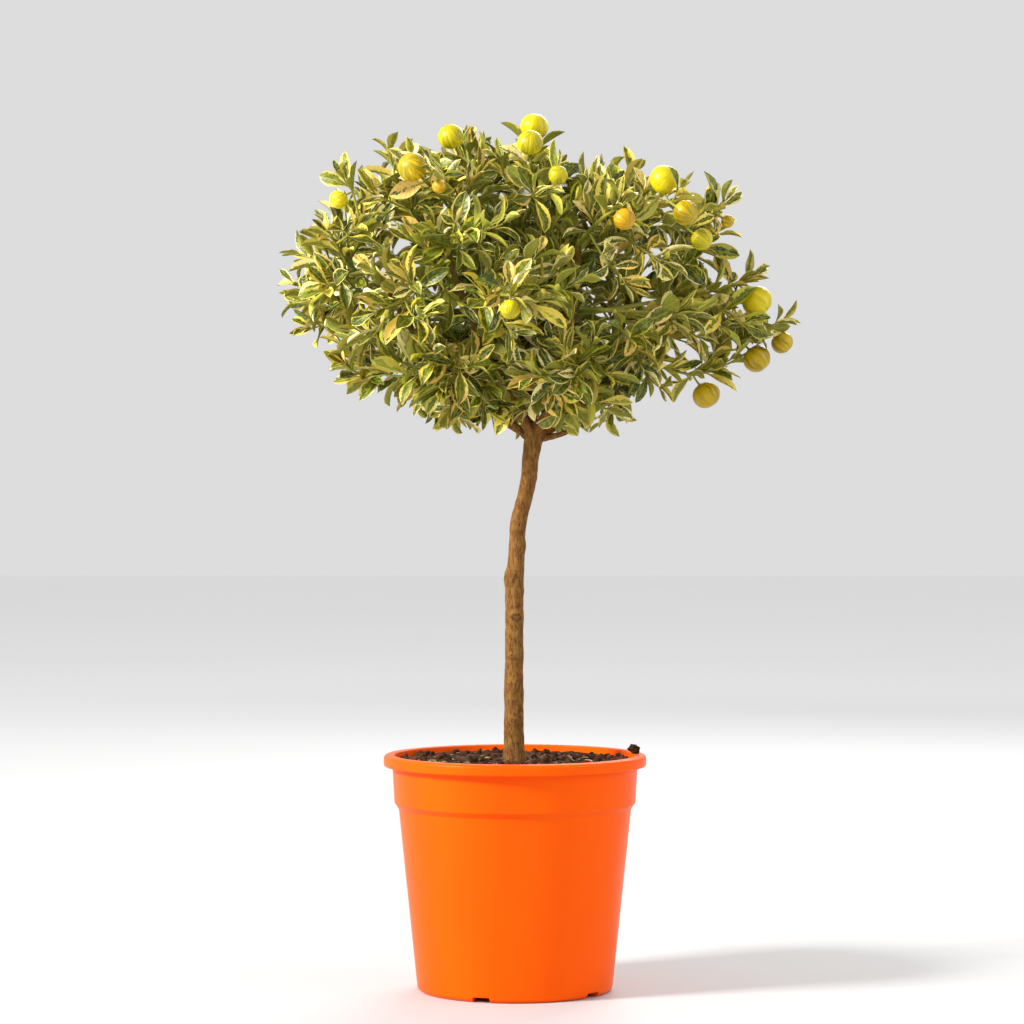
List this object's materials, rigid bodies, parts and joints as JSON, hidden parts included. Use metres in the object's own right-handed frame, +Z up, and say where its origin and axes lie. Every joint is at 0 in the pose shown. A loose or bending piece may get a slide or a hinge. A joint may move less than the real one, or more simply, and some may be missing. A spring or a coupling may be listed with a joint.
{
  "type": "potted citrus tree",
  "caption": "Small variegated citrus standard with a round leafy crown and fruit on one bare stem, in a tapered round plastic nursery pot with a rolled lip.",
  "frame": {"origin": "middle of the pot's underside, on the floor it stands on", "axes": "+Z up along the pot's axis, -Y towards the front, +X towards the long fruiting bough"},
  "size_m": [0.4151, 0.3951, 0.7385],
  "materials": {
    "orange_plastic": "satin",
    "dark_mix": "matte",
    "bark": "matte",
    "foliage": "satin",
    "rind": "satin",
    "dry_leaf": "matte"
  },
  "bodies": {
    "root": {"fallen_leaf_1": "dry_leaf", "fallen_leaf_2": "dry_leaf", "fallen_leaf_3": "dry_leaf", "fruit_01": "rind", "fruit_02": "rind", "fruit_03": "rind", "fruit_04": "rind", "fruit_05": "rind", "fruit_06": "rind", "fruit_07": "rind", "fruit_08": "rind", "fruit_09": "rind", "fruit_10": "rind", "fruit_11": "rind", "fruit_12": "rind", "fruit_13": "rind", "fruit_14": "rind", "fruit_15": "rind", "fruit_16": "rind", "fruit_17": "rind", "fruit_18": "rind", "fruit_19": "rind", "fruit_20": "rind", "fruit_21": "rind", "fruit_22": "rind", "leafy_bough_01": "foliage", "leafy_bough_02": "foliage", "leafy_bough_03": "foliage", "leafy_bough_04": "foliage", "leafy_bough_05": "foliage", "leafy_bough_06": "foliage", "leafy_bough_07": "foliage", "leafy_bough_08": "foliage", "leafy_bough_09": "foliage", "leafy_bough_10": "foliage", "leafy_bough_11": "foliage", "leafy_bough_12": "foliage", "leafy_bough_13": "foliage", "leafy_bough_14": "foliage", "leafy_bough_15": "foliage", "leafy_bough_16": "foliage", "leafy_bough_17": "foliage", "leafy_bough_18": "foliage", "leafy_bough_19": "foliage", "leafy_bough_20": "foliage", "leafy_bough_21": "foliage", "leafy_bough_22": "foliage", "leafy_bough_23": "foliage", "leafy_bough_24": "foliage", "leafy_bough_25": "foliage", "leafy_bough_26": "foliage", "leafy_bough_27": "foliage", "leafy_bough_28": "foliage", "leafy_bough_29": "foliage", "leafy_bough_30": "foliage", "leafy_bough_31": "foliage", "peat_clod": "dark_mix", "pot": "orange_plastic", "potting_mix": "dark_mix", "stem_and_limbs": "bark"}
  },
  "joints": []
}
